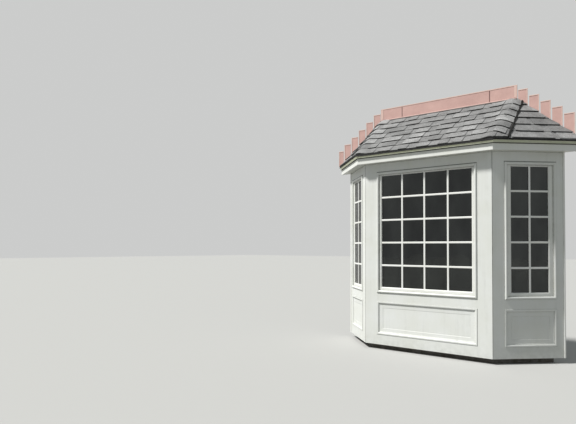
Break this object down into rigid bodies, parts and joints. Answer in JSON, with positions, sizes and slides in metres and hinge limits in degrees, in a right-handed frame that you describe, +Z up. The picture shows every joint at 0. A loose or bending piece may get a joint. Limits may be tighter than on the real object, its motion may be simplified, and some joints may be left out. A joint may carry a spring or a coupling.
{
  "type": "canted bay window",
  "caption": "Three-sided canted bay window of painted timber with panelled base, multi-pane sashes and hipped shingle roof.",
  "frame": {"origin": "middle of the bay's width on the house wall's plane, at ground level", "axes": "+Y into the house wall, -Y out towards the street, +X to the right seen from the street, +Z up"},
  "size_m": [3.1802, 0.735, 3.17],
  "materials": {
    "paint": "satin oil paint on timber",
    "framing": "sawn softwood",
    "floor": "oiled boards",
    "boarding": "rough roof boards",
    "plaster": "painted plaster",
    "concrete": "cast concrete",
    "glass": "clear window glass",
    "shingle": "mineral-faced asphalt, weathered",
    "flashing": "faded painted sheet metal"
  },
  "bodies": {
    "root": {"plinth": "concrete", "floor_platform": "framing", "floor_boards": "floor", "wall_front": "plaster", "wall_left": "plaster", "wall_right": "plaster", "corner_board_left": "paint", "corner_board_right": "paint", "end_board_left": "paint", "end_board_right": "paint", "skirt_boards": "paint", "middle_rails": "paint", "frieze_boards": "paint", "panel_front": "paint", "panel_left": "paint", "panel_right": "paint", "panel_moulding_front": "paint", "panel_moulding_left": "paint", "panel_moulding_right": "paint", "window_frame_front": "paint", "window_frame_left": "paint", "window_frame_right": "paint", "sash_front": "paint", "sash_left": "paint", "sash_right": "paint", "glass_front": "glass", "glass_left": "glass", "glass_right": "glass", "casing_front": "paint", "casing_left": "paint", "casing_right": "paint", "inner_casing_front": "paint", "inner_casing_left": "paint", "inner_casing_right": "paint", "ceiling": "plaster", "top_plate": "framing", "ledger": "framing", "rafters": "framing", "soffit": "paint", "fascia": "paint", "drip_edge": "paint", "roof_boarding": "boarding", "shingles_front": "shingle", "shingles_left": "shingle", "shingles_right": "shingle", "hip_shingles_left": "shingle", "hip_shingles_right": "shingle", "apron_flashing": "flashing", "step_flashing_left": "flashing", "step_flashing_right": "flashing"}
  },
  "joints": []
}
